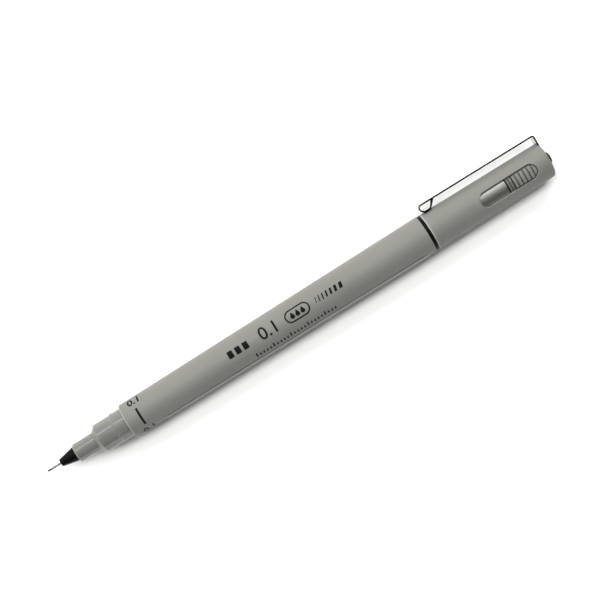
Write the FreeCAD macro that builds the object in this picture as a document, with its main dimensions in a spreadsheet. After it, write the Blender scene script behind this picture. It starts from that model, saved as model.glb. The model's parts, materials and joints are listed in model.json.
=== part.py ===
import FreeCAD, Part
import os
import re
import Sketcher

# Technical pen with its cap posted on the tail. X runs along the pen from the nib to the cap's end,
# X = 0 is the barrel's front face, the clip is on the +Y side and the cap's slot faces +Z.

os.makedirs("parts", exist_ok=True)

sizes = {
    # barrel, and the clearance of what is pressed into another piece
    "barrelLength": 89.0,
    "gripLength": 9.0,
    "barrelFrontRadius": 4.65,
    "barrelRearRadius": 5.13,
    "barrelWall": 0.9,
    "barrelEdge": 0.3,
    "pressGap": 0.01,
    # cap shell
    "capLength": 35.0,
    "capDrop": 0.11,
    "capTaper": 0.22,
    "capWall": 0.92,
    "capMouthLead": 0.25,
    "capEndWall": 1.8,
    "capEndEdge": 0.7,
    "slotEndGap": 2.2,
    "slotLength": 16.7,
    "slotRadius": 2.025,
    "slotRim": 0.12,
    # inner cap that slides in the cap shell
    "slideGap": 0.06,
    "innerLength": 9.2,
    "innerWall": 0.94,
    "innerNeckStep": 0.49,
    "innerEndWall": 0.7,
    "innerLead": 0.25,
    "sealWidth": 0.4,
    "sealGap": 0.05,
    "sealDrop": 0.12,
    "padThickness": 0.5,
    # carriage behind the inner cap
    "carriageEndGap": 1.65,
    "carriageEndWall": 1.95,
    "bandWidth": 0.45,
    "bandGrooveWidth": 0.25,
    "bandGrooveDepth": 0.3,
    "frontBandsLength": 1.55,
    # thumb slide
    "knobLength": 6.5,
    "knobRearGap": 0.3,
    "knobSideGap": 0.375,
    "knobSink": 0.02,
    "ribCount": 5,
    "ribPitch": 1.185,
    "ribFirst": 0.62,
    "ribGrooveWidth": 0.42,
    "ribGrooveDepth": 0.32,
    # front section, each length measured towards the nib
    "collarLength": 3.4,
    "collarGap": 0.15,
    "beadGap": 0.03,
    "beadWidth": 0.5,
    "beadRamp": 0.2,
    "beadSetback": 0.15,
    "seatLength": 4.6,
    "seatDrop": 0.1,
    "seatRamp": 0.2,
    "shoulderLength": 1.1,
    "sealLap": 0.3,
    "noseLength": 6.1,
    "noseDrop": 0.35,
    "noseEdge": 0.3,
    "spigotLength": 9.0,
    "spigotWall": 1.29,
    "spigotBoreReach": 5.0,
    "nibBore": 1.5,
    # nib
    "coneLength": 4.6,
    "coneTipRadius": 1.0,
    "coneTipEdge": 0.25,
    "coneBaseDrop": 0.45,
    "shankLength": 8.0,
    "wickPocketDepth": 2.5,
    "tubeRadius": 0.3,
    "tubeWall": 0.065,
    "tubeExposed": 2.9,
    "coreExposed": 1.0,
    "wickRadius": 1.0,
    "wickInReservoir": 15.0,
    # ink reservoir
    "reservoirGap": 0.5,
    "filmWall": 0.15,
    # label on the barrel, opposite the clip
    "labelFrontGap": 0.3,
    "labelEndGap": 2.7,
    "labelAngle": 75.0,
    "labelThickness": 0.08,
    # tail plug
    "plugLength": 6.0,
    "flangeWidth": 1.0,
    "flangeDrop": 0.11,
    "flangeGrooveWidth": 0.3,
    "flangeGrooveDepth": 0.06,
    "postLength": 4.5,
    "postGap": 0.03,
    "postNoseLength": 4.5,
    "postNoseGap": 0.4,
    "postNoseEdge": 0.6,
    # clip strip, its heights measured from the cap's mouth radius
    "clipWidth": 4.0,
    "clipThickness": 0.4,
    "clipFaceSetback": 0.05,
    "clipPocketGap": 0.05,
    "clipTailInset": 2.2,
    "clipSeamRise": 0.125,
    "clipSeamGap": 0.02,
    "clipRootRise": 2.285,
    "clipTipRise": 2.485,
    "clipTipPlace": 0.5,
    "clipBend": 0.6,
    "clipLoopLength": 4.6,
    "clipLoopFlat": 1.9,
    "clipLoopLead": 0.9,
    "clipLoopRise": 0.8,
    "clipLoopBend": 0.9,
    "clipLoopFootBend": 0.72,
    "clipContactGap": 0.08,
    # crown button that rivets the clip's leg
    "stemRadius": 1.2,
    "stemGap": 0.02,
    "barbStep": 0.3,
    "barbLength": 0.5,
    "buttonRadius": 1.8,
    "buttonHeight": 1.2,
    "buttonEdge": 0.9,
    # how far past a surface a cutting profile reaches
    "overcut": 3.0,
}

document = FreeCAD.newDocument("TechnicalPen")
sheet = document.addObject("Spreadsheet::Sheet", "Sizes")
for row, (word, value) in enumerate(sizes.items(), start=1):
    sheet.set("A%d" % row, word)
    sheet.set("B%d" % row, str(value))
    sheet.setAlias("B%d" % row, word)
document.recompute()


def amount(formula):
    """The number a formula of size names stands for."""
    numbers = re.sub(r"[A-Za-z]+", lambda word: "(%r)" % sizes[word.group()], formula)
    return FreeCAD.Units.Quantity(numbers).Value


def linked(formula):
    """The same formula, reading the sheet's cells."""
    return re.sub(r"[A-Za-z]+", lambda word: "Sizes." + word.group(), formula)


# Places along X that several pieces share
seatEnd = "(collarLength + seatLength)"
shoulderEnd = "(collarLength + seatLength + shoulderLength)"
noseEnd = "(collarLength + seatLength + shoulderLength + noseLength)"
coneEnd = "(" + noseEnd + " + coneLength)"
tubeEnd = "(" + coneEnd + " + tubeExposed)"
shankBack = "(shankLength - " + noseEnd + ")"
wickFront = "(" + shankBack + " - wickPocketDepth)"
wickEnd = "(spigotLength + wickInReservoir)"
reservoirEnd = "(barrelLength - plugLength)"
capMouth = "(barrelLength + flangeWidth)"
capEnd = "(" + capMouth + " + capLength)"
endWallFace = "(" + capEnd + " - capEndWall)"
clipLegFace = "(" + capEnd + " - clipFaceSetback)"
clipLegBack = "(" + clipLegFace + " - clipThickness)"
slotRear = "(" + endWallFace + " - slotEndGap)"
slotFront = "(" + slotRear + " - slotLength)"
knobRear = "(" + slotRear + " - knobRearGap)"
knobFront = "(" + knobRear + " - knobLength)"
carriageFace = "(" + knobFront + " - frontBandsLength)"
carriageBack = "(" + endWallFace + " - carriageEndGap)"
innerNeck = "(" + carriageFace + " - sealGap - sealWidth)"
innerFront = "(" + innerNeck + " - innerLength)"
innerBack = "(" + carriageBack + " - carriageEndWall)"
innerFloor = "(" + innerBack + " - innerEndWall)"

# Radii that several pieces share
barrelBore = "(barrelFrontRadius - barrelWall)"
pressedRadius = "(" + barrelBore + " - pressGap)"
flangeRadius = "(barrelRearRadius - flangeDrop)"
capMouthRadius = "(barrelRearRadius - capDrop)"
capEndRadius = "(" + capMouthRadius + " - capTaper)"
capBore = "(" + capMouthRadius + " - capWall)"
collarRadius = "(" + capBore + " - collarGap)"
seatRadius = "(" + collarRadius + " - seatDrop)"
slideRadius = "(" + capBore + " - slideGap)"
innerBore = "(" + slideRadius + " - innerWall)"
innerNeckRadius = "(" + slideRadius + " - innerNeckStep)"
shoulderRadius = "(" + innerBore + " - sealLap)"
noseRadius = "(" + shoulderRadius + " - noseDrop)"
reservoirRadius = "(" + barrelBore + " - reservoirGap)"
knobHalfWidth = "(slotRadius - knobSideGap)"
knobTopRadius = (
    "(" + capMouthRadius + " - capTaper * (" + knobRear + " - " + capMouth + ") / capLength - knobSink)"
)
clipRootRadius = "(" + capMouthRadius + " + clipRootRise)"
clipTipRadius = "(" + capMouthRadius + " + clipTipRise)"
clipSeamRadius = "(" + capMouthRadius + " + clipSeamRise)"
clipSlope = "((clipTipRise - clipRootRise) / (capLength - clipFaceSetback - clipTipPlace))"


def newBody(label):
    body = document.addObject("PartDesign::Body", label)
    body.Label = label
    body.Placement = FreeCAD.Placement()
    return body


def originPlane(body, role):
    return next(plane for plane in body.Origin.OriginFeatures if plane.Role == role)


def bindPlace(sketch, corner, direction, axis, formula):
    """Holds one end of a line at a distance from the sketch's origin, or on the axis where that is 0."""
    if formula == "0":
        sketch.addConstraint(Sketcher.Constraint("PointOnObject", corner, 1, axis))
        return
    rule = Sketcher.Constraint(direction, -1, 1, corner, 1, amount(formula))
    index = sketch.addConstraint(rule)
    sketch.setExpression("Constraints[%d]" % index, linked(formula))


def newSketch(body, name, role):
    sketch = body.newObject("Sketcher::SketchObject", name)
    sketch.AttachmentSupport = [(originPlane(body, role), "")]
    sketch.MapMode = "FlatFace"
    return sketch


def outline(body, name, corners, role="XY_Plane"):
    """A closed sketch of straight lines whose corners are bound to the sheet."""
    sketch = newSketch(body, name, role)
    points = [FreeCAD.Vector(amount(across), amount(up), 0) for across, up in corners]
    count = len(points)
    for corner in range(count):
        line = Part.LineSegment(points[corner], points[(corner + 1) % count])
        sketch.addGeometry(line, False)
    for corner in range(count):
        meet = Sketcher.Constraint("Coincident", corner, 2, (corner + 1) % count, 1)
        sketch.addConstraint(meet)
    for corner, (across, up) in enumerate(corners):
        bindPlace(sketch, corner, "DistanceX", -2, across)
        bindPlace(sketch, corner, "DistanceY", -1, up)
    return sketch


def rectangle(low, high, inner, outer):
    """Corners of a box in the half plane, from low to high along X and inner to outer in radius."""
    return [(low, inner), (high, inner), (high, outer), (low, outer)]


def spun(body, name, corners, kind="Revolution"):
    """A solid, or with kind Groove a cut, turned about the pen's axis."""
    sketch = outline(body, name + "Profile", corners)
    feature = body.newObject("PartDesign::" + kind, name)
    feature.Profile = sketch
    feature.ReferenceAxis = (sketch, ["H_Axis"])
    feature.Angle = 360.0
    sketch.Visibility = False
    return feature


def padded(body, name, corners, width, kind="Pad"):
    """A solid, or with kind Pocket a cut, as wide as given and centred on the sketch's plane."""
    sketch = outline(body, name + "Profile", corners)
    feature = body.newObject("PartDesign::" + kind, name)
    feature.Profile = sketch
    feature.Midplane = True
    feature.setExpression("Length", linked(width))
    return feature


def circleEdges(feature, place, radius):
    """The names of the feature's circular edges about the X axis at a place and radius."""
    document.recompute()
    centre = FreeCAD.Vector(amount(place), 0, 0)
    found = []
    for number, edge in enumerate(feature.Shape.Edges, start=1):
        round_edge = isinstance(edge.Curve, Part.Circle)
        if round_edge and abs(edge.Curve.Radius - amount(radius)) < 1e-4:
            if edge.Curve.Center.distanceToPoint(centre) < 1e-4:
                found.append("Edge%d" % number)
    return found


def crossEdges(feature, corners):
    """The names of the feature's straight edges along Z that pass through the given corners."""
    document.recompute()
    places = [FreeCAD.Vector(amount(across), amount(up), 0) for across, up in corners]
    found = []
    for number, edge in enumerate(feature.Shape.Edges, start=1):
        flat = [FreeCAD.Vector(vertex.X, vertex.Y, 0) for vertex in edge.Vertexes]
        for place in places:
            if len(flat) == 2 and all(point.distanceToPoint(place) < 1e-4 for point in flat):
                found.append("Edge%d" % number)
    return found


def dressed(body, name, feature, edges, size, kind="Fillet"):
    """Rounds or, with kind Chamfer, bevels the named edges."""
    dress = body.newObject("PartDesign::" + kind, name)
    dress.Base = (feature, edges)
    dress.setExpression("Radius" if kind == "Fillet" else "Size", linked(size))
    body.Tip = dress
    return dress


# Barrel: a tube, straight where it is gripped and then slightly thicker towards the tail
barrel = newBody("barrel")
barrelTube = spun(
    barrel,
    "BarrelTube",
    [
        ("0", barrelBore),
        ("barrelLength", barrelBore),
        ("barrelLength", "barrelRearRadius"),
        ("gripLength", "barrelFrontRadius"),
        ("0", "barrelFrontRadius"),
    ],
)
barrelFront = circleEdges(barrelTube, "0", "barrelFrontRadius")
dressed(barrel, "BarrelFrontEdge", barrelTube, barrelFront, "barrelEdge")

# Front section: one moulding with a spigot in the barrel, a collar with a snap bead, the cap's seat,
# a sealing shoulder and the slim nose
frontSection = newBody("front_section")
beadRear = "(beadWidth + beadRamp + beadRamp + beadSetback - collarLength)"
sectionTurned = spun(
    frontSection,
    "SectionTurned",
    [
        ("-" + noseEnd, "nibBore"),
        ("-" + noseEnd, noseRadius),
        ("-" + shoulderEnd, noseRadius),
        ("-" + shoulderEnd, shoulderRadius),
        ("-" + seatEnd, seatRadius),
        ("-(collarLength + seatRamp)", seatRadius),
        ("-collarLength", collarRadius),
        ("beadSetback - collarLength", collarRadius),
        ("beadSetback + beadRamp - collarLength", capBore + " - beadGap"),
        ("beadSetback + beadRamp + beadWidth - collarLength", capBore + " - beadGap"),
        (beadRear, collarRadius),
        ("0", collarRadius),
        ("0", pressedRadius),
        ("spigotLength", pressedRadius),
        ("spigotLength", pressedRadius + " - spigotWall"),
        ("-spigotBoreReach", pressedRadius + " - spigotWall"),
        ("-spigotBoreReach", "nibBore"),
    ],
)
noseRim = circleEdges(sectionTurned, "-" + noseEnd, noseRadius)
dressed(frontSection, "NoseEdge", sectionTurned, noseRim, "noseEdge", "Chamfer")

# Nib holder: black cone in front, shank pressed into the nose, pocket for the wick at its back
nibHolder = newBody("nib_holder")
holderTurned = spun(
    nibHolder,
    "HolderTurned",
    [
        ("-" + coneEnd, "tubeRadius + pressGap"),
        ("-" + coneEnd, "coneTipRadius"),
        ("-" + noseEnd, noseRadius + " - coneBaseDrop"),
        ("-" + noseEnd, "nibBore - pressGap"),
        (shankBack, "nibBore - pressGap"),
        (shankBack, "wickRadius + pressGap"),
        (wickFront, "wickRadius + pressGap"),
        (wickFront, "tubeRadius + pressGap"),
    ],
)
coneRim = circleEdges(holderTurned, "-" + coneEnd, "coneTipRadius")
dressed(nibHolder, "ConeTipEdge", holderTurned, coneRim, "coneTipEdge")

# Needle tube and the nib core that runs through it to the wick
needleTube = newBody("needle_tube")
spun(
    needleTube,
    "NeedleTurned",
    rectangle("-" + tubeEnd, wickFront, "tubeRadius - tubeWall", "tubeRadius"),
)
nibCore = newBody("nib_core")
spun(
    nibCore,
    "CoreTurned",
    rectangle("-(" + tubeEnd + " + coreExposed)", wickFront, "0", "tubeRadius - tubeWall - pressGap"),
)

# Wick, ink reservoir and the film sleeve round it, held between the spigot and the tail plug
feedWick = newBody("feed_wick")
spun(
    feedWick,
    "WickTurned",
    rectangle(wickFront, "spigotLength + wickInReservoir", "0", "wickRadius"),
)
inkReservoir = newBody("ink_reservoir")
spun(
    inkReservoir,
    "ReservoirTurned",
    [
        ("spigotLength", "wickRadius"),
        ("spigotLength", reservoirRadius),
        (reservoirEnd, reservoirRadius),
        (reservoirEnd, "0"),
        (wickEnd, "0"),
        (wickEnd, "wickRadius"),
    ],
)
reservoirFilm = newBody("reservoir_film")
spun(
    reservoirFilm,
    "FilmTurned",
    rectangle("spigotLength", reservoirEnd, reservoirRadius, reservoirRadius + " + filmWall"),
)

# Label: a thin band on the barrel's taper, centred opposite the clip
barrelTaper = "((barrelRearRadius - barrelFrontRadius) / (barrelLength - gripLength))"
labelStart = "(gripLength + labelFrontGap)"
labelEnd = "(barrelLength - labelEndGap)"
labelFrontRadius = "(barrelFrontRadius + " + barrelTaper + " * labelFrontGap)"
labelRearRadius = "(barrelRearRadius - " + barrelTaper + " * labelEndGap)"
barrelLabel = newBody("barrel_label")
labelBand = spun(
    barrelLabel,
    "LabelBand",
    [
        (labelStart, "-" + labelFrontRadius),
        (labelEnd, "-" + labelRearRadius),
        (labelEnd, "-(" + labelRearRadius + " + labelThickness)"),
        (labelStart, "-(" + labelFrontRadius + " + labelThickness)"),
    ],
)
labelBand.Midplane = True
labelBand.setExpression("Angle", linked("labelAngle"))

# Tail plug: insert in the barrel, a flange that shows as a ring, the post that grips the cap
tailPlug = newBody("tail_plug")
grooveFront = "(barrelLength + (flangeWidth - flangeGrooveWidth) / 2)"
postEnd = "(" + capMouth + " + postLength)"
postNoseEnd = "(" + postEnd + " + postNoseLength)"
plugTurned = spun(
    tailPlug,
    "PlugTurned",
    [
        (reservoirEnd, "0"),
        (reservoirEnd, pressedRadius),
        ("barrelLength", pressedRadius),
        ("barrelLength", flangeRadius),
        (grooveFront, flangeRadius),
        (grooveFront, flangeRadius + " - flangeGrooveDepth"),
        (grooveFront + " + flangeGrooveWidth", flangeRadius + " - flangeGrooveDepth"),
        (grooveFront + " + flangeGrooveWidth", flangeRadius),
        (capMouth, flangeRadius),
        (capMouth, capBore + " - postGap"),
        (postEnd, capBore + " - postGap"),
        (postEnd, innerBore + " - postNoseGap"),
        (postNoseEnd, innerBore + " - postNoseGap"),
        (postNoseEnd, "0"),
    ],
)
postRim = circleEdges(plugTurned, postNoseEnd, innerBore + " - postNoseGap")
dressed(tailPlug, "PostNoseEdge", plugTurned, postRim, "postNoseEdge")

# Cap shell: tapered tube with an end wall, a slot for the thumb slide and a pocket for the clip's leg
capShell = newBody("cap_shell")
capTurned = spun(
    capShell,
    "CapTurned",
    [
        (capMouth, capBore + " + capMouthLead"),
        (capMouth + " + capMouthLead", capBore),
        (endWallFace, capBore),
        (endWallFace, "stemRadius + stemGap"),
        (capEnd, "stemRadius + stemGap"),
        (capEnd, capEndRadius),
        (capMouth, capMouthRadius),
    ],
)
capRim = circleEdges(capTurned, capEnd, capEndRadius)
dressed(capShell, "CapEndEdge", capTurned, capRim, "capEndEdge")
padded(
    capShell,
    "ClipPocket",
    [
        (clipLegBack + " - clipPocketGap", "-(clipTailInset + clipPocketGap)"),
        (capEnd + " + overcut", "-(clipTailInset + clipPocketGap)"),
        (capEnd + " + overcut", capEndRadius + " + overcut"),
        (clipLegBack + " - clipPocketGap", capEndRadius + " + overcut"),
    ],
    "clipWidth + 2 * clipPocketGap",
    "Pocket",
)


def slotOutline(body, name, front, rear, radius):
    """A closed sketch of two lines and two half circles, centred on the pen's axis seen from above."""
    sketch = newSketch(body, name, "XY_Plane")
    start = amount(front + " + " + radius)
    end = amount(rear + " - " + radius)
    reach = amount(radius)
    middles = [FreeCAD.Vector(start, 0, 0), FreeCAD.Vector(end, 0, 0)]
    up = FreeCAD.Vector(0, 0, 1)
    corners = [FreeCAD.Vector(place, side, 0) for place in (start, end) for side in (reach, -reach)]
    sketch.addGeometry(Part.LineSegment(corners[0], corners[2]), False)
    sketch.addGeometry(Part.LineSegment(corners[3], corners[1]), False)
    quarter = FreeCAD.Units.Quantity("pi / 2").Value
    frontHalf = Part.ArcOfCircle(Part.Circle(middles[0], up, reach), quarter, 3 * quarter)
    rearHalf = Part.ArcOfCircle(Part.Circle(middles[1], up, reach), -quarter, quarter)
    sketch.addGeometry(frontHalf, False)
    sketch.addGeometry(rearHalf, False)
    for first, firstEnd, second, secondEnd in ((0, 1, 2, 1), (2, 2, 1, 2), (1, 1, 3, 1), (3, 2, 0, 2)):
        rule = Sketcher.Constraint("Tangent", first, firstEnd, second, secondEnd)
        sketch.addConstraint(rule)
    for half, place in ((2, front + " + " + radius), (3, rear + " - " + radius)):
        sketch.addConstraint(Sketcher.Constraint("PointOnObject", half, 3, -1))
        rule = Sketcher.Constraint("DistanceX", -1, 1, half, 3, amount(place))
        index = sketch.addConstraint(rule)
        sketch.setExpression("Constraints[%d]" % index, linked(place))
    index = sketch.addConstraint(Sketcher.Constraint("Radius", 2, reach))
    sketch.setExpression("Constraints[%d]" % index, linked(radius))
    return sketch


slotSketch = slotOutline(capShell, "SlotProfile", slotFront, slotRear, "slotRadius")
slotCut = capShell.newObject("PartDesign::Pocket", "SlotCut")
slotCut.Profile = slotSketch
slotCut.Reversed = True
slotCut.setExpression("Length", linked(capMouthRadius + " + overcut"))


def slotRimEdges(feature):
    """The names of the edges where the slot opens on the cap's outside."""
    document.recompute()
    halfWall = amount(capBore + " + capWall / 2")
    found = []
    for number, edge in enumerate(feature.Shape.Edges, start=1):
        outside = all((point.Y**2 + point.Z**2) ** 0.5 > halfWall for point in edge.Vertexes)
        upper = edge.CenterOfMass.z > 0
        front, rear = edge.BoundBox.XMin, edge.BoundBox.XMax
        if outside and upper and front > amount(slotFront) - 0.01 and rear < amount(slotRear) + 0.01:
            found.append("Edge%d" % number)
    return found


dressed(capShell, "SlotRim", slotCut, slotRimEdges(slotCut), "slotRim")

# Clip: a bent steel strip in two nodes, the leg held in the cap's end and the arm that flexes
clipTab = newBody("clip_tab")
padded(
    clipTab,
    "TabStrip",
    [
        (clipLegBack, "-clipTailInset"),
        (clipLegFace, "-clipTailInset"),
        (clipLegFace, clipSeamRadius + " - clipSeamGap"),
        (clipLegBack, clipSeamRadius + " - clipSeamGap"),
    ],
    "clipWidth",
)
spun(
    clipTab,
    "TabHole",
    rectangle(capEnd + " - overcut", capEnd + " + overcut", "0", "stemRadius + stemGap"),
    "Groove",
)

clipArm = newBody("clip_arm")
clipTip = "(" + capMouth + " + clipTipPlace)"
loopBottom = "(" + capMouthRadius + " + clipContactGap)"
loopTail = "(" + clipTip + " + clipLoopLength)"
tailRadius = "(" + clipTipRadius + " - clipThickness - " + clipSlope + " * clipLoopLength)"
armCorners = [
    (clipTip, clipTipRadius),
    (clipLegFace, clipRootRadius),
    (clipLegFace, clipSeamRadius),
    (clipLegBack, clipSeamRadius),
    (clipLegBack, clipRootRadius + " - clipThickness"),
    (loopTail, tailRadius),
    (clipTip + " + clipLoopLead + clipLoopFlat", loopBottom),
    (clipTip + " + clipLoopLead", loopBottom),
    (clipTip, loopBottom + " + clipLoopRise"),
]
armStrip = padded(clipArm, "ArmStrip", armCorners, "clipWidth")
tipBends = crossEdges(armStrip, [armCorners[0]])
tipBend = dressed(clipArm, "TipBend", armStrip, tipBends, "clipLoopBend")
rootBends = crossEdges(tipBend, [armCorners[1]])
rootBend = dressed(clipArm, "RootBend", tipBend, rootBends, "clipBend")
loopBends = crossEdges(rootBend, armCorners[6:9])
dressed(clipArm, "LoopBends", rootBend, loopBends, "clipLoopFootBend")
holeTop = "(" + clipTipRadius + " - clipThickness - " + clipSlope + " * clipThickness)"
loopHole = [
    (clipTip + " + clipThickness", holeTop),
    (loopTail + " - 2 * clipThickness", tailRadius),
    (clipTip + " + clipLoopLead + clipLoopFlat - clipThickness / 2", loopBottom + " + clipThickness"),
    (clipTip + " + clipLoopLead + clipThickness / 2", loopBottom + " + clipThickness"),
    (clipTip + " + clipThickness", loopBottom + " + clipLoopRise + clipThickness / 2"),
]
loopCut = padded(clipArm, "LoopHole", loopHole, "clipWidth + overcut", "Pocket")
holeBends = crossEdges(loopCut, [loopHole[0]])
dressed(clipArm, "HoleBend", loopCut, holeBends, "clipLoopBend - clipThickness")

# Crown button: barbed stem through the end wall and the clip's leg, low domed head outside
crownButton = newBody("crown_button")
buttonTop = "(" + clipLegFace + " + buttonHeight)"
buttonTurned = spun(
    crownButton,
    "ButtonTurned",
    [
        (endWallFace + " - barbLength", "0"),
        (endWallFace + " - barbLength", "stemRadius - stemGap"),
        (endWallFace, "stemRadius + barbStep"),
        (endWallFace, "stemRadius - stemGap"),
        (clipLegFace, "stemRadius - stemGap"),
        (clipLegFace, "buttonRadius"),
        (buttonTop, "buttonRadius"),
        (buttonTop, "0"),
    ],
)
buttonRim = circleEdges(buttonTurned, buttonTop, "buttonRadius")
dressed(crownButton, "ButtonEdge", buttonTurned, buttonRim, "buttonEdge")

# Inner cap: the sliding sleeve that seals on the front section's shoulder, and what it carries
innerCap = newBody("inner_cap")
spun(
    innerCap,
    "InnerTurned",
    [
        (innerFront, innerBore + " + innerLead"),
        (innerFront, slideRadius + " - innerLead"),
        (innerFront + " + innerLead", slideRadius),
        (innerNeck, slideRadius),
        (innerNeck, innerNeckRadius),
        (innerBack, innerNeckRadius),
        (innerBack, "0"),
        (innerFloor, "0"),
        (innerFloor, innerBore),
        (innerFront + " + innerLead", innerBore),
    ],
)
tipSeal = newBody("tip_seal")
spun(
    tipSeal,
    "SealPadTurned",
    rectangle(innerFloor + " - padThickness", innerFloor, "0", innerBore + " - pressGap"),
)
sealRing = newBody("seal_ring")
spun(
    sealRing,
    "SealRingTurned",
    rectangle(
        innerNeck,
        innerNeck + " + sealWidth",
        innerNeckRadius + " + pressGap",
        slideRadius + " - sealDrop",
    ),
)

# Carriage: closed sleeve on the inner cap's neck, with two bands in front of the thumb slide
slideCarriage = newBody("slide_carriage")
secondBand = "(" + carriageFace + " + bandWidth + bandGrooveWidth)"
thirdGroove = "(" + knobFront + " - bandGrooveWidth)"
bandFloor = slideRadius + " - bandGrooveDepth"
spun(
    slideCarriage,
    "CarriageTurned",
    [
        (carriageFace, innerNeckRadius + " + pressGap"),
        (carriageFace, slideRadius),
        (carriageFace + " + bandWidth", slideRadius),
        (carriageFace + " + bandWidth", bandFloor),
        (secondBand, bandFloor),
        (secondBand, slideRadius),
        (thirdGroove, slideRadius),
        (thirdGroove, bandFloor),
        (knobFront, bandFloor),
        (knobFront, slideRadius),
        (carriageBack, slideRadius),
        (carriageBack, "0"),
        (innerBack, "0"),
        (innerBack, innerNeckRadius + " + pressGap"),
    ],
)

# Thumb slide: a ribbed pad on the carriage that stands in the slot, its rear end as round as the slot
slideKnob = newBody("slide_knob")
knobSketch = slotOutline(slideKnob, "KnobProfile", knobFront + " - " + knobHalfWidth, knobRear, knobHalfWidth)
knobPad = slideKnob.newObject("PartDesign::Pad", "KnobPad")
knobPad.Profile = knobSketch
knobPad.setExpression("Length", linked(capMouthRadius + " + overcut"))
cutTop = capMouthRadius + " + 2 * overcut"
spun(
    slideKnob,
    "KnobFrontCut",
    rectangle(knobFront + " - overcut - overcut", knobFront, "0", cutTop),
    "Groove",
)
spun(
    slideKnob,
    "KnobTopCut",
    rectangle(knobFront + " - overcut", knobRear + " + overcut", knobTopRadius, cutTop),
    "Groove",
)
spun(
    slideKnob,
    "KnobSeatCut",
    rectangle(knobFront + " - overcut", knobRear + " + overcut", "0", slideRadius),
    "Groove",
)
ribFront = "(" + knobFront + " + ribFirst)"
ribCut = spun(
    slideKnob,
    "RibCut",
    rectangle(ribFront, ribFront + " + ribGrooveWidth", knobTopRadius + " - ribGrooveDepth", cutTop),
    "Groove",
)
document.recompute()
ribs = slideKnob.newObject("PartDesign::LinearPattern", "Ribs")
ribs.Originals = [ribCut]
ribs.Direction = (originPlane(slideKnob, "X_Axis"), [""])
ribs.setExpression("Length", linked("ribPitch * (ribCount - 1)"))
ribs.setExpression("Occurrences", linked("ribCount"))
slideKnob.Tip = ribs

document.recompute()

nodes = [item for item in document.Objects if item.TypeId == "PartDesign::Body"]
for item in document.Objects:
    faults = {"Invalid", "Error"} & set(item.State)
    if faults:
        raise RuntimeError("%s is %s" % (item.Label, sorted(faults)))
for node in nodes:
    shape = node.Shape
    if shape.isNull() or not shape.isValid() or len(shape.Solids) != 1:
        raise RuntimeError("%s has no single valid solid" % node.Label)
for node in nodes:
    node.Shape.exportStep(os.path.join("parts", node.Label + ".step"))
    print("%-16s %9.3f mm3" % (node.Label, node.Shape.Volume))
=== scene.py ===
import json
import math

import bmesh
import bpy
from mathutils import Matrix, Vector


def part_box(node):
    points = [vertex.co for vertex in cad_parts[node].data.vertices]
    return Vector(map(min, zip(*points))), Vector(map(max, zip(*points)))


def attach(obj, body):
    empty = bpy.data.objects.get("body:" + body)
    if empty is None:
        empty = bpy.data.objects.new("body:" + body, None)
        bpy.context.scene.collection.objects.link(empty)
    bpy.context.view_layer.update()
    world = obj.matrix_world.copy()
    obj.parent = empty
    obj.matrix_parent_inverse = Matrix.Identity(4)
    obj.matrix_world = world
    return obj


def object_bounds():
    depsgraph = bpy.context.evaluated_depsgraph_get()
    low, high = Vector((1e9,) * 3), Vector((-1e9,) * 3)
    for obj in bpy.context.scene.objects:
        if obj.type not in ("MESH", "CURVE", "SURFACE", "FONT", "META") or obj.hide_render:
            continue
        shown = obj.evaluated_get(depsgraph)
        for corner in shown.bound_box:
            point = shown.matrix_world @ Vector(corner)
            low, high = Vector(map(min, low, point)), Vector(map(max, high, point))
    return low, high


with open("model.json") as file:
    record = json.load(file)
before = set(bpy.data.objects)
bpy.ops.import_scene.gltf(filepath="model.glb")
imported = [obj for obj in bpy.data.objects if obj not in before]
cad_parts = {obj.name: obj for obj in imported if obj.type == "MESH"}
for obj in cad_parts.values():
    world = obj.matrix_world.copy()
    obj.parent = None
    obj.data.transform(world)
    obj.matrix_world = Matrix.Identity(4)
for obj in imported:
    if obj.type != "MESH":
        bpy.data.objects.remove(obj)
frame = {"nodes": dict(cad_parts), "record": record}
cadLow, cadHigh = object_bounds()
nodes = frame["nodes"]
mm = 0.001
print("frame loaded:", len(nodes), "pieces")


def toLinear(code):  # sRGB hex, as the linear colour a shader takes
    parts = [int(code[i:i + 2], 16) / 255 for i in (0, 2, 4)]
    return [c / 12.92 if c <= 0.04045 else ((c + 0.055) / 1.055) ** 2.4 for c in parts] + [1.0]


def addNode(tree, kind, settings={}, links={}):
    made = tree.nodes.new(kind)
    for key, value in settings.items():
        if isinstance(key, int) or key in made.inputs:  # an input, by number or name
            made.inputs[key].default_value = value
        else:
            setattr(made, key, value)
    for key, source in links.items():
        tree.links.new(source, made.inputs[key])
    return made.outputs


def newFinish(name):
    finish = bpy.data.materials.new(name)
    finish.use_nodes = True
    tree = finish.node_tree
    tree.nodes.clear()
    place = addNode(tree, "ShaderNodeTexCoord")["Object"]
    return finish, tree, place


def endFinish(tree, settings, links):
    shader = addNode(tree, "ShaderNodeBsdfPrincipled", settings, links)
    addNode(tree, "ShaderNodeOutputMaterial", {}, {"Surface": shader[0]})


# Plastics

noiseRange = {1: 0.3, 2: 0.7}  # where a noise texture's values mostly lie
edgeRange = {1: 0.99, 2: 0.93}  # eased normal against true normal, from no painted edge highlight to full
lengthwise = (0.1, 1, 1)  # handling rubs a pen along its length


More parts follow.
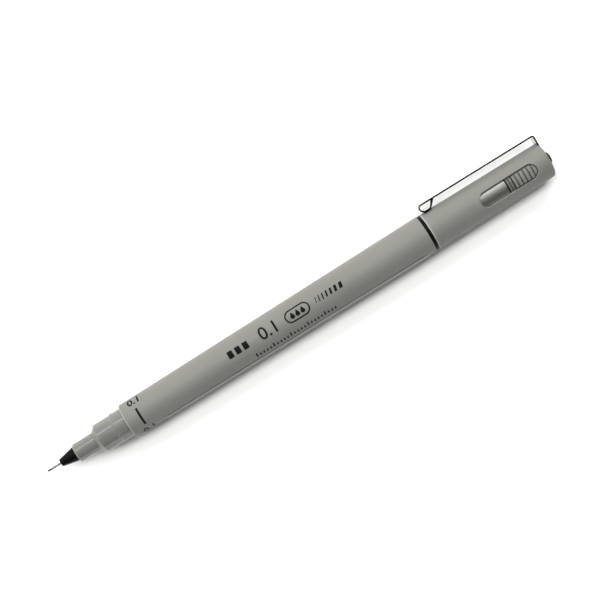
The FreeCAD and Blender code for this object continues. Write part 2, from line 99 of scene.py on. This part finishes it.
def mouldedPlastic(name, look):
    finish, tree, place = newFinish(name)
    cloud = addNode(
        tree, "ShaderNodeTexNoise",
        {"Scale": 1 / look["cloudSize"], "Detail": 3.0}, {"Vector": place})
    grain = addNode(
        tree, "ShaderNodeTexNoise",
        {"Scale": 1 / look["grainSize"], "Detail": 2.0, "Roughness": 0.6}, {"Vector": place})
    along = addNode(tree, "ShaderNodeMapping", {"Scale": lengthwise}, {"Vector": place})
    rub = addNode(
        tree, "ShaderNodeTexNoise",
        {"Scale": 1 / look["rubSize"], "Detail": 4.0}, {"Vector": along[0]})

    # Colour: slow clouding, with a fine speck over it
    tone = addNode(
        tree, "ShaderNodeMix",
        {"data_type": "RGBA", 6: toLinear(look["dark"]), 7: toLinear(look["light"])},
        {0: cloud[0]})
    speck = addNode(
        tree, "ShaderNodeMix",
        {"data_type": "RGBA", 6: toLinear(look["speckDark"]), 7: toLinear(look["speckLight"])},
        {0: grain[0]})
    colour = addNode(
        tree, "ShaderNodeMix",
        {"data_type": "RGBA", 0: look["speckShare"]}, {6: tone[2], 7: speck[2]})
    shine = addNode(
        tree, "ShaderNodeMapRange",
        {**noiseRange, 3: look["roughness"] - look["spread"],
         4: look["roughness"] + look["spread"]},
        {0: rub[0]})
    bump = addNode(
        tree, "ShaderNodeBump",
        {"Strength": 1.0, "Distance": look["grainHeight"]}, {"Height": grain[0]})

    # Painted highlight: edges drawn pale where a rounded edge catches light, and a pale band at an
    # open mouth
    eased = addNode(tree, "ShaderNodeBevel", {"samples": 6, "Radius": look["edgeSize"]})
    facing = addNode(tree, "ShaderNodeNewGeometry")["Normal"]
    match = addNode(
        tree, "ShaderNodeVectorMath", {"operation": "DOT_PRODUCT"}, {0: eased[0], 1: facing})
    edgeHighlight = addNode(
        tree, "ShaderNodeMapRange",
        {**edgeRange, 3: 0.0, 4: look["edgeHighlightShare"]}, {0: match["Value"]})
    parts = addNode(tree, "ShaderNodeSeparateXYZ", {}, {0: place})
    lip = addNode(
        tree, "ShaderNodeMapRange",
        {1: look["lip"] + look["lipSize"], 2: look["lip"] + look["lipSize"] / 2,
         3: 0.0, 4: look["mouthHighlightShare"]},
        {0: parts[0]})
    highlightMask = addNode(tree, "ShaderNodeMath", {"operation": "MAXIMUM"}, {0: edgeHighlight[0], 1: lip[0]})
    edged = addNode(
        tree, "ShaderNodeMix",
        {"data_type": "RGBA", 7: toLinear(look["edge"])}, {0: highlightMask[0], 6: colour[2]})

    # Painted shade in the grooves: darker below a set distance from the pen's axis
    across = addNode(tree, "ShaderNodeMapping", {"Scale": (0, 1, 1)}, {"Vector": place})
    reach = addNode(tree, "ShaderNodeVectorMath", {"operation": "LENGTH"}, {0: across[0]})
    grooveShadeMask = addNode(
        tree, "ShaderNodeMapRange",
        {1: look["grooveShadeTop"] - look["grooveShadeDepth"], 2: look["grooveShadeTop"],
         3: look["grooveShadeShare"], 4: 0.0},
        {0: reach["Value"]})
    grooveShaded = addNode(
        tree, "ShaderNodeMix",
        {"data_type": "RGBA", 7: toLinear(look["grooveShadeColour"])}, {0: grooveShadeMask[0], 6: edged[2]})

    endFinish(
        tree,
        {"IOR": look["ior"], "Specular IOR Level": look["gloss"]},
        {"Base Color": grooveShaded[2], "Roughness": shine[0], "Normal": bump[0]})
    return finish


# Most mouldings have no painted mouth highlight and no painted groove shade: the band lies far in
# front of the pen
cleanBody = {
    "lip": -1.0, "lipSize": 0.3 * mm, "mouthHighlightShare": 0.75,
    # The dark colour here is painted shade for grooves
    "grooveShadeColour": "1c1c1a", "grooveShadeTop": 0.0, "grooveShadeDepth": 0.12 * mm, "grooveShadeShare": 0.0,
}
# Polypropylene, moulded against a spark-eroded tool: a dry, soft-edged sheen with a grain
# just felt. The real grain is too fine to show, so it is drawn coarser
mattGrey = {
    **cleanBody,
    "dark": "666661", "light": "6d6d68", "cloudSize": 9 * mm,
    "speckDark": "60605b", "speckLight": "757570", "speckShare": 0.35,
    "grainSize": 0.22 * mm, "grainHeight": 0.006 * mm, "rubSize": 1.6 * mm,
    "roughness": 0.43, "spread": 0.04, "ior": 1.49, "gloss": 0.2,
    # The pale edge colour is a painted highlight for edges and open mouths
    "edge": "9c9c95", "edgeSize": 0.16 * mm, "edgeHighlightShare": 0.9,
}
# ABS from a polished tool: much the same grey, with a crisp line of light and a faint ripple
glossGrey = {
    **cleanBody,
    "dark": "5f5f5b", "light": "656561", "cloudSize": 7 * mm,
    "speckDark": "595955", "speckLight": "6a6a66", "speckShare": 0.25,
    "grainSize": 0.5 * mm, "grainHeight": 0.0025 * mm, "rubSize": 0.9 * mm,
    "roughness": 0.085, "spread": 0.02, "ior": 1.53, "gloss": 0.42,
    "edge": "a0a09a", "edgeSize": 0.1 * mm, "edgeHighlightShare": 0.7,
}
# ABS in black: satin, shows fine rubs. Its grain is drawn coarser than the real one
blackAbs = {
    **cleanBody,
    "dark": "050505", "light": "0a0a0a", "cloudSize": 4 * mm,
    "speckDark": "040404", "speckLight": "100f0f", "speckShare": 0.3,
    "grainSize": 0.18 * mm, "grainHeight": 0.004 * mm, "rubSize": 0.6 * mm,
    "roughness": 0.33, "spread": 0.07, "ior": 1.53, "gloss": 0.06,
    "edge": "1b1b1a", "edgeSize": 0.08 * mm, "edgeHighlightShare": 0.5,
}
# Acetal rod, cut and ground to a round point: dull black
nibAcetal = {
    **cleanBody,
    "dark": "060606", "light": "0e0e0e", "cloudSize": 0.8 * mm,
    "speckDark": "040404", "speckLight": "151514", "speckShare": 0.4,
    "grainSize": 0.06 * mm, "grainHeight": 0.003 * mm, "rubSize": 0.2 * mm,
    "roughness": 0.55, "spread": 0.08, "ior": 1.48, "gloss": 0.15,
    "edge": "1c1c1c", "edgeSize": 0.03 * mm, "edgeHighlightShare": 0.5,
}
# Nitrile rubber, compression moulded: matt, slightly bloomed
sealRubber = {
    **cleanBody,
    "dark": "121212", "light": "1b1b1a", "cloudSize": 2 * mm,
    "speckDark": "0e0e0e", "speckLight": "242422", "speckShare": 0.4,
    "grainSize": 0.1 * mm, "grainHeight": 0.005 * mm, "rubSize": 0.5 * mm,
    "roughness": 0.72, "spread": 0.08, "ior": 1.52, "gloss": 0.2,
    "edge": "30302e", "edgeSize": 0.05 * mm, "edgeHighlightShare": 0.5,
}
finishes = {
    "matt_grey_plastic": mouldedPlastic("polypropylene_matt_grey", mattGrey),
    "gloss_grey_plastic": mouldedPlastic("abs_polished_grey", glossGrey),
    "black_plastic": mouldedPlastic("abs_satin_black", blackAbs),
    "nib_black": mouldedPlastic("acetal_ground_black", nibAcetal),
    "rubber": mouldedPlastic("nitrile_rubber", sealRubber),
}
print("plastics ready")


# Metals

def drawnMetal(name, look):
    finish, tree, place = newFinish(name)
    along = addNode(tree, "ShaderNodeMapping", {"Scale": look["stretch"]}, {"Vector": place})
    lines = addNode(
        tree, "ShaderNodeTexNoise",
        {"Scale": 1 / look["lineSize"], "Detail": 3.0, "Roughness": 0.65}, {"Vector": along[0]})
    cloud = addNode(
        tree, "ShaderNodeTexNoise",
        {"Scale": 1 / look["cloudSize"], "Detail": 2.0}, {"Vector": place})
    colour = addNode(
        tree, "ShaderNodeMix",
        {"data_type": "RGBA", 6: toLinear(look["dark"]), 7: toLinear(look["light"])},
        {0: cloud[0]})
    shine = addNode(
        tree, "ShaderNodeMapRange",
        {**noiseRange, 3: look["roughness"] - look["spread"],
         4: look["roughness"] + look["spread"]},
        {0: lines[0]})
    bump = addNode(
        tree, "ShaderNodeBump",
        {"Strength": 1.0, "Distance": look["lineHeight"]}, {"Height": lines[0]})

    # Painted shade on the slit edges of a strip, which lie furthest out along Z
    parts = addNode(tree, "ShaderNodeSeparateXYZ", {}, {0: place})
    side = addNode(tree, "ShaderNodeMath", {"operation": "ABSOLUTE"}, {0: parts[2]})
    cut = addNode(
        tree, "ShaderNodeMath", {"operation": "GREATER_THAN", 1: look["cutFrom"]}, {0: side[0]})
    edged = addNode(
        tree, "ShaderNodeMix",
        {"data_type": "RGBA", 7: toLinear(look["slitEdgeShade"])}, {0: cut[0], 6: colour[2]})

    endFinish(
        tree, {"Metallic": 1.0},
        {"Base Color": edged[2], "Roughness": shine[0], "Normal": bump[0]})
    return finish


noCut = 9 * mm  # further out than the pen reaches
# Stainless spring strip, cold rolled: bright, with faint rolling lines along the clip, and
# slit edges painted dark as shade. The lines are drawn coarser than the real ones
springSteel = {
    "dark": "bebeba", "light": "cbcbc7", "cloudSize": 5 * mm,
    "stretch": (0.04, 1, 1), "lineSize": 0.12 * mm, "lineHeight": 0.0012 * mm,
    "roughness": 0.24, "spread": 0.05, "cutFrom": 1.88 * mm, "slitEdgeShade": "222221",
}
# Metallised plastic sleeve: a satin coat, pale towards the light and dim away from it
brightCoat = {
    "dark": "c2c2bd", "light": "cacac5", "cloudSize": 3 * mm,
    "stretch": (1, 1, 1), "lineSize": 0.8 * mm, "lineHeight": 0.0015 * mm,
    "roughness": 0.46, "spread": 0.04, "cutFrom": noCut, "slitEdgeShade": "c2c2bd",
}
# Stainless needle tube, drawn: fine lengthwise lines, a shade deeper than the strip
needleSteel = {
    "dark": "8b8b88", "light": "9c9c99", "cloudSize": 1.2 * mm,
    "stretch": (0.05, 1, 1), "lineSize": 0.05 * mm, "lineHeight": 0.0008 * mm,
    "roughness": 0.2, "spread": 0.05, "cutFrom": noCut, "slitEdgeShade": "8b8b88",
}
finishes["steel"] = drawnMetal("stainless_strip_rolled", springSteel)
finishes["bright_sleeve"] = drawnMetal("metallised_sleeve", brightCoat)
print("metals ready")


# Fibre, film, label and ink

# Bonded polyester fibre: parallel strands, stained grey by the ink, drawn coarser than real
strands = {
    "dark": "3c3c3e", "light": "8d8d8c",
    "stretch": (0.03, 1, 1), "strandSize": 0.07 * mm, "strandHeight": 0.02 * mm,
    "roughness": 0.85,
}
finish, tree, place = newFinish("bonded_polyester_fibre")
along = addNode(tree, "ShaderNodeMapping", {"Scale": strands["stretch"]}, {"Vector": place})
lines = addNode(
    tree, "ShaderNodeTexNoise",
    {"Scale": 1 / strands["strandSize"], "Detail": 4.0}, {"Vector": along[0]})
colour = addNode(
    tree, "ShaderNodeMix",
    {"data_type": "RGBA", 6: toLinear(strands["dark"]), 7: toLinear(strands["light"])},
    {0: lines[0]})
bump = addNode(
    tree, "ShaderNodeBump",
    {"Strength": 1.0, "Distance": strands["strandHeight"]}, {"Height": lines[0]})
endFinish(
    tree, {"Roughness": strands["roughness"]}, {"Base Color": colour[2], "Normal": bump[0]})
finishes["fibre"] = finish

# Polypropylene film, blown thin: milky with a light wrinkle
wrap = {
    "dark": "b9bcba", "light": "d3d5d2", "wrinkleSize": 1.5 * mm, "wrinkleHeight": 0.02 * mm,
    "roughness": 0.25, "ior": 1.49,
}
finish, tree, place = newFinish("polypropylene_film")
folds = addNode(
    tree, "ShaderNodeTexNoise",
    {"Scale": 1 / wrap["wrinkleSize"], "Detail": 3.0}, {"Vector": place})
colour = addNode(
    tree, "ShaderNodeMix",
    {"data_type": "RGBA", 6: toLinear(wrap["dark"]), 7: toLinear(wrap["light"])}, {0: folds[0]})
bump = addNode(
    tree, "ShaderNodeBump",
    {"Strength": 1.0, "Distance": wrap["wrinkleHeight"]}, {"Height": folds[0]})
endFinish(
    tree, {"Roughness": wrap["roughness"], "IOR": wrap["ior"]},
    {"Base Color": colour[2], "Normal": bump[0]})
finishes["film"] = finish

# Coated label film: a touch smoother than the barrel, printed with a dark border line
sticker = {
    "halfAngle": 37.5, "border": 1.9, "dark": "666661", "light": "6d6d68", "ink": "141413",
    "orangePeel": 0.5 * mm, "peelHeight": 0.003 * mm, "roughness": 0.42, "ior": 1.5,
}
finish, tree, place = newFinish("coated_label_film")
parts = addNode(tree, "ShaderNodeSeparateXYZ", {}, {0: place})
down = addNode(tree, "ShaderNodeMath", {"operation": "MULTIPLY", 1: -1.0}, {0: parts[1]})
turn = addNode(tree, "ShaderNodeMath", {"operation": "ARCTAN2"}, {0: parts[2], 1: down[0]})
side = addNode(tree, "ShaderNodeMath", {"operation": "ABSOLUTE"}, {0: turn[0]})
inside = math.radians(sticker["halfAngle"] - sticker["border"])
edge = addNode(tree, "ShaderNodeMath", {"operation": "GREATER_THAN", 1: inside}, {0: side[0]})
peel = addNode(
    tree, "ShaderNodeTexNoise",
    {"Scale": 1 / sticker["orangePeel"], "Detail": 2.0}, {"Vector": place})
colour = addNode(
    tree, "ShaderNodeMix",
    {"data_type": "RGBA", 6: toLinear(sticker["dark"]), 7: toLinear(sticker["light"])},
    {0: peel[0]})
printed = addNode(
    tree, "ShaderNodeMix",
    {"data_type": "RGBA", 7: toLinear(sticker["ink"])}, {0: edge[0], 6: colour[2]})
bump = addNode(
    tree, "ShaderNodeBump",
    {"Strength": 1.0, "Distance": sticker["peelHeight"]}, {"Height": peel[0]})
endFinish(
    tree, {"Roughness": sticker["roughness"], "IOR": sticker["ior"]},
    {"Base Color": printed[2], "Normal": bump[0]})
finishes["label"] = finish

# Pad-printed ink with a matting agent: dull, near black, thinner in places
inkCoat = {
    "dark": "050505", "light": "0c0c0c", "patchSize": 0.3 * mm, "patchHeight": 0.002 * mm,
    "roughness": 0.6, "ior": 1.5, "gloss": 0.12,
}
inkFinish, tree, place = newFinish("pad_print_ink")
patches = addNode(
    tree, "ShaderNodeTexNoise",
    {"Scale": 1 / inkCoat["patchSize"], "Detail": 3.0}, {"Vector": place})
colour = addNode(
    tree, "ShaderNodeMix",
    {"data_type": "RGBA", 6: toLinear(inkCoat["dark"]), 7: toLinear(inkCoat["light"])},
    {0: patches[0]})
bump = addNode(
    tree, "ShaderNodeBump",
    {"Strength": 1.0, "Distance": inkCoat["patchHeight"]}, {"Height": patches[0]})
endFinish(
    tree,
    {"Roughness": inkCoat["roughness"], "IOR": inkCoat["ior"],
     "Specular IOR Level": inkCoat["gloss"]},
    {"Base Color": colour[2], "Normal": bump[0]})

# Pieces with a finish of their own: the open mouths get a painted highlight band, and the slide gets
# painted shade in its grooves in place of painted edge highlights
barrelMouth = {"lip": 0.0, "edgeHighlightShare": 0.3}
capMouth = {"lip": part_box("cap_shell")[0].x, "lipSize": 0.35 * mm}
knobGrooveShade = {"edgeHighlightShare": 0.0, "grooveShadeShare": 0.5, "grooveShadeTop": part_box("slide_knob")[1].z - 0.08 * mm}
carriageGrooveShade = {
    "edgeHighlightShare": 0.0, "dark": "5e5e59", "light": "666661",
    "grooveShadeShare": 0.65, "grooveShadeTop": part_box("slide_carriage")[1].z - 0.06 * mm,
}
own = {
    "barrel": mouldedPlastic("polypropylene_matt_barrel", {**mattGrey, **barrelMouth}),
    "cap_shell": mouldedPlastic("polypropylene_matt_cap", {**mattGrey, **capMouth}),
    "slide_knob": mouldedPlastic("polypropylene_matt_knob", {**mattGrey, **knobGrooveShade}),
    "slide_carriage": mouldedPlastic("abs_polished_carriage", {**glossGrey, **carriageGrooveShade}),
    "needle_tube": drawnMetal("stainless_needle_drawn", needleSteel),
}
for name, piece in nodes.items():
    for held in piece.material_slots:  # the CAD material has the name of the record's slot
        held.material = own.get(name) or finishes[held.material.name]
print("finishes on", len(nodes), "pieces")


# Print on the barrel

grip = next(m for m in frame["record"]["mounts"] if m["name"] == "barrel_grip")
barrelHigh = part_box("barrel")[1]
barrel = {
    "gripRadius": grip["dims"]["r_mm"] * mm,
    "tailRadius": barrelHigh.z,
    "taperStart": 9 * mm,
    "taperEnd": barrelHigh.x,
}
ink = {
    "proud": 0.006 * mm, "sunk": 0.02 * mm, "cutEvery": 0.25 * mm, "merge": 0.0005 * mm,
    "curveSteps": 5,
}


def barrelRadius(x):
    share = (x - barrel["taperStart"]) / (barrel["taperEnd"] - barrel["taperStart"])
    share = min(max(share, 0), 1)
    return barrel["gripRadius"] + (barrel["tailRadius"] - barrel["gripRadius"]) * share


def addBar(shape, x, y, width, height, slant=0.0):
    lean = Matrix.Identity(4)
    lean[0][1] = slant
    size = Matrix.Diagonal((width, height, 1, 1))
    place = Matrix.Translation((x, y, 0)) @ lean @ size
    bmesh.ops.create_grid(shape, x_segments=1, y_segments=1, size=0.5, matrix=place)


def addOutline(shape, x, y, width, height, line, steps):
    loops = []
    for inset in (0, line):
        made = bmesh.ops.create_circle(
            shape, cap_ends=False, segments=steps, radius=height / 2 - inset,
            matrix=Matrix.Translation((x, y, 0)))
        for corner in made["verts"]:  # pull the halves apart, for round ends
            corner.co.x += math.copysign((width - height) / 2, corner.co.x - x)
        loops += {e for v in made["verts"] for e in v.link_edges}
    bmesh.ops.bridge_loops(shape, edges=loops)


def addDrop(shape, x, y, look):  # a disc with its upper half drawn out to a point
    made = bmesh.ops.create_circle(
        shape, cap_ends=True, segments=look["steps"], radius=look["radius"],
        matrix=Matrix.Translation((x, y, 0)))
    for corner in made["verts"]:
        rise = max((corner.co.y - y) / look["radius"], 0)
        corner.co.x = x + (corner.co.x - x) * (1 - look["pinch"] * rise)
        corner.co.y = y + (corner.co.y - y) * (1 + look["pull"] * rise)


def addNumerals(shape, words, x, y, height, weight):
    curve = bpy.data.curves.new("numerals", "FONT")
    curve.body, curve.offset, curve.resolution_u = words, weight, ink["curveSteps"]
    holder = bpy.data.objects.new("numerals", curve)
    bpy.context.scene.collection.objects.link(holder)
    bpy.context.view_layer.update()
    flat = bpy.data.meshes.new_from_object(holder)
    low = [min(v.co[i] for v in flat.vertices) for i in (0, 1)]
    high = [max(v.co[i] for v in flat.vertices) for i in (0, 1)]
    scale = height / (high[1] - low[1])
    centre = Matrix.Translation((-(low[0] + high[0]) / 2, -(low[1] + high[1]) / 2, 0))
    flat.transform(Matrix.Translation((x, y, 0)) @ Matrix.Scale(scale, 4) @ centre)
    shape.from_mesh(flat)
    bpy.data.objects.remove(holder)
    bpy.data.meshes.remove(flat)


def printOnBarrel(name, shape, turn):  # turn is in degrees from the top, towards the clip
    reach = max(abs(v.co.y) for v in shape.verts)
    cut = -reach
    while cut < reach:  # cut across, so the flat print can bend
        bmesh.ops.bisect_plane(
            shape, geom=shape.verts[:] + shape.edges[:] + shape.faces[:],
            plane_co=(0, cut, 0), plane_no=(0, 1, 0))
        cut += ink["cutEvery"]
    bmesh.ops.remove_doubles(shape, verts=shape.verts[:], dist=ink["merge"])
    bmesh.ops.triangulate(shape, faces=shape.faces[:])
    grown = bmesh.ops.extrude_face_region(shape, geom=shape.faces[:])["geom"]
    sunken = [g for g in grown if isinstance(g, bmesh.types.BMVert)]
    bmesh.ops.translate(shape, verts=sunken, vec=(0, 0, -ink["proud"] - ink["sunk"]))
    bmesh.ops.translate(shape, verts=shape.verts[:], vec=(0, 0, ink["proud"]))
    bmesh.ops.recalc_face_normals(shape, faces=shape.faces[:])
    for corner in shape.verts:
        radius = barrelRadius(corner.co.x)
        angle = math.radians(turn) + corner.co.y / radius
        out = radius + corner.co.z
        corner.co = Vector((corner.co.x, out * math.sin(angle), out * math.cos(angle)))
    openEdges = sum(1 for e in shape.edges if not e.is_manifold)
    mesh = bpy.data.meshes.new(name)
    shape.to_mesh(mesh)
    shape.free()
    piece = bpy.data.objects.new(name, mesh)
    bpy.context.scene.collection.objects.link(piece)
    mesh.materials.append(inkFinish)
    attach(piece, "pen")
    print(name, len(mesh.polygons), "faces,", openEdges, "open edges")


# Front ring: three bars and three tip widths, by turns round the barrel
ring = {
    "barX": 3.95 * mm, "barWidth": 0.58 * mm, "barHeight": 4.87 * mm, "barTurns": (0, 120, -120),
    "words": "0.1", "wordsX": 4.0 * mm, "wordsHeight": 2.3 * mm, "wordsWeight": 0.025,
    "wordsTurns": (60, -60, 180),
}
for turn in ring["barTurns"]:
    shape = bmesh.new()
    addBar(shape, ring["barX"], 0, ring["barWidth"], ring["barHeight"])
    printOnBarrel("ring_bar_%d" % (turn % 360), shape, turn)
for turn in ring["wordsTurns"]:
    shape = bmesh.new()
    addNumerals(
        shape, ring["words"], ring["wordsX"], 0, ring["wordsHeight"], ring["wordsWeight"])
    printOnBarrel("ring_width_%d" % (turn % 360), shape, turn)

# Heavy mark: three plain upright blocks
blocks = {
    "x": 30.4 * mm, "count": 3, "width": 1.45 * mm, "step": 2.2 * mm, "height": 1.95 * mm,
    "turn": 14,
}
shape = bmesh.new()
for i in range(blocks["count"]):
    middle = blocks["x"] + blocks["width"] / 2 + i * blocks["step"]
    addBar(shape, middle, 0, blocks["width"], blocks["height"])
printOnBarrel("print_blocks", shape, blocks["turn"])

# Tip width in thin tall numerals
tipWidth = {"words": "0.1", "x": 42.1 * mm, "height": 3.4 * mm, "weight": 0.008, "turn": 17.5}
shape = bmesh.new()
addNumerals(shape, tipWidth["words"], tipWidth["x"], 0, tipWidth["height"], tipWidth["weight"])
printOnBarrel("print_width", shape, tipWidth["turn"])

# Round-ended badge with three ink drops
badge = {
    "x": 50.85 * mm, "width": 7.1 * mm, "height": 3.5 * mm, "line": 0.38 * mm, "steps": 38,
    "dropStep": 1.5 * mm, "dropY": -0.25 * mm, "turn": 15.2,
}
drop = {"radius": 0.62 * mm, "steps": 28, "pinch": 0.45, "pull": 0.8}
shape = bmesh.new()
addOutline(shape, badge["x"], 0, badge["width"], badge["height"], badge["line"], badge["steps"])
for i in (-1, 0, 1):
    addDrop(shape, badge["x"] + i * badge["dropStep"], badge["dropY"], drop)
printOnBarrel("print_badge", shape, badge["turn"])

# Line-width sample: strokes that get wider
strokes = {
    "x": 56.3 * mm, "height": 1.6 * mm, "slant": 0.2, "gap": 0.72 * mm, "turn": 17,
    "widths": (0.2, 0.28, 0.36, 0.46, 0.58, 0.72, 0.9),
}
shape = bmesh.new()
at = strokes["x"]
for width in strokes["widths"]:
    addBar(shape, at + width * mm / 2, 0, width * mm, strokes["height"], strokes["slant"])
    at += width * mm + strokes["gap"]
printOnBarrel("print_strokes", shape, strokes["turn"])

# Millimetre rule, every fifth tick longer
rule = {
    "x": 36.7 * mm, "count": 24, "step": 1.0 * mm, "longEvery": 5,
    "width": 0.42 * mm, "short": 0.85 * mm, "long": 1.3 * mm, "turn": -33.5,
}
shape = bmesh.new()
for i in range(rule["count"]):
    tall = rule["long"] if i % rule["longEvery"] == 0 else rule["short"]
    addBar(shape, rule["x"] + i * rule["step"], (tall - rule["long"]) / 2, rule["width"], tall)
printOnBarrel("print_rule", shape, rule["turn"])
print("print done")


# Floor, light, camera

# Uncoated white paper: even and without shine. Far out it glows, to stay pale in low views
floor = {
    "size": 4.0, "middle": 0.05, "paper": ("f8f8f6", "fcfcfb"), "fleck": 2 * mm,
    "roughness": 0.9, "glowFrom": 0.2, "glowTo": 1.0, "glow": 0.95,
}
shape = bmesh.new()
bmesh.ops.create_grid(
    shape, x_segments=1, y_segments=1, size=floor["size"] / 2,
    matrix=Matrix.Translation((floor["middle"], 0, cadLow.z)))
mesh = bpy.data.meshes.new("floor")
shape.to_mesh(mesh)
shape.free()
ground = bpy.data.objects.new("floor", mesh)
bpy.context.scene.collection.objects.link(ground)
finish, tree, place = newFinish("white_paper")
fleck = addNode(
    tree, "ShaderNodeTexNoise", {"Scale": 1 / floor["fleck"], "Detail": 2.0}, {"Vector": place})
colour = addNode(
    tree, "ShaderNodeMix",
    {"data_type": "RGBA", 6: toLinear(floor["paper"][0]), 7: toLinear(floor["paper"][1])},
    {0: fleck[0]})
far = addNode(tree, "ShaderNodeVectorMath", {"operation": "LENGTH"}, {0: place})
lit = addNode(
    tree, "ShaderNodeMapRange",
    {1: floor["glowFrom"], 2: floor["glowTo"], 3: 0.0, 4: floor["glow"]}, {0: far["Value"]})
endFinish(
    tree, {"Roughness": floor["roughness"], "Emission Color": (1, 1, 1, 1)},
    {"Base Color": colour[2], "Emission Strength": lit[0]})
mesh.materials.append(finish)

# Room: pale on the clip's side, dark from overhead on, bright in a low band on the far side.
# Each stop is an angle from overhead towards the clip, in degrees, and a brightness
room = {
    "strength": 1.6,
    "glow": (
        (-90, 1.7), (-74, 1.4), (-68, 0.04), (2, 0.04),
        (12, 0.3), (20, 0.58), (40, 0.6), (90, 0.55)),
}
world = bpy.data.worlds.new("studio")
bpy.context.scene.world = world
world.use_nodes = True
tree = world.node_tree
tree.nodes.clear()
heading = addNode(tree, "ShaderNodeTexCoord")["Generated"]
parts = addNode(tree, "ShaderNodeSeparateXYZ", {}, {0: heading})
lean = addNode(tree, "ShaderNodeMath", {"operation": "ARCTAN2"}, {0: parts[1], 1: parts[2]})
level = addNode(
    tree, "ShaderNodeMapRange", {1: math.radians(-90), 2: math.radians(90)}, {0: lean[0]})
walls = addNode(tree, "ShaderNodeValToRGB", {}, {0: level[0]})
ramp = tree.nodes["Color Ramp"].color_ramp
while len(ramp.elements) < len(room["glow"]):
    ramp.elements.new(0.5)
for stop, (angle, bright) in zip(ramp.elements, room["glow"]):
    stop.position = (angle + 90) / 180
    stop.color = (bright, bright, bright, 1)
glow = addNode(
    tree, "ShaderNodeBackground", {"Strength": room["strength"]}, {"Color": walls[0]})
addNode(tree, "ShaderNodeOutputWorld", {}, {"Surface": glow[0]})

# Lamps in line with the pen, leaning towards the clip. The overhead one casts the short
# shadow, and only the strip is mirrored, as the bright line along the gloss
lights = {
    "overhead": {
        "lean": 20.5, "distance": 0.7, "long": 1.2, "wide": 0.185, "power": 4.9, "mirrored": False},
    "softbox": {
        "lean": 60, "distance": 0.7, "long": 1.2, "wide": 0.65, "power": 4.6, "mirrored": False},
    "edge_strip": {
        "lean": 45.5, "distance": 0.66, "long": 1.2, "wide": 0.12, "power": 2.2, "mirrored": True},
}
for name, setting in lights.items():
    lamp = bpy.data.lights.new(name, "AREA")
    lamp.shape, lamp.energy = "RECTANGLE", setting["power"]
    lamp.size, lamp.size_y = setting["long"], setting["wide"]
    holder = bpy.data.objects.new(name, lamp)
    bpy.context.scene.collection.objects.link(holder)
    holder.visible_camera = False
    holder.visible_glossy = setting["mirrored"]
    raised = Matrix.Translation((0, 0, setting["distance"]))
    holder.matrix_world = Matrix.Rotation(-math.radians(setting["lean"]), 4, "X") @ raised

shot = {
    "lean": 8.19, "tilt": 0.782, "roll": 32.076, "distance": 374.0 * mm, "angle": 22.951,
    "along": 53.157 * mm, "across": 2.846 * mm, "near": 0.005,
}
leanBy, tiltBy, rollBy = (math.radians(shot[k]) for k in ("lean", "tilt", "roll"))
back = Vector((
    -math.sin(tiltBy), math.cos(tiltBy) * math.sin(leanBy), math.cos(tiltBy) * math.cos(leanBy)))
sideways = Vector((0, math.cos(leanBy), -math.sin(leanBy))).cross(back).normalized()
upright = back.cross(sideways)
right = math.cos(rollBy) * sideways - math.sin(rollBy) * upright
up = math.sin(rollBy) * sideways + math.cos(rollBy) * upright
eye = Vector((shot["along"], 0, 0)) + shot["across"] * upright + shot["distance"] * back
lens = bpy.data.cameras.new("camera")
lens.angle = math.radians(shot["angle"])
lens.clip_start = shot["near"]
camera = bpy.data.objects.new("camera", lens)
bpy.context.scene.collection.objects.link(camera)
camera.matrix_world = Matrix.Translation(eye) @ Matrix((right, up, back)).transposed().to_4x4()
bpy.context.scene.camera = camera
bpy.context.scene.view_settings.view_transform = "Standard"
print("stage ready")
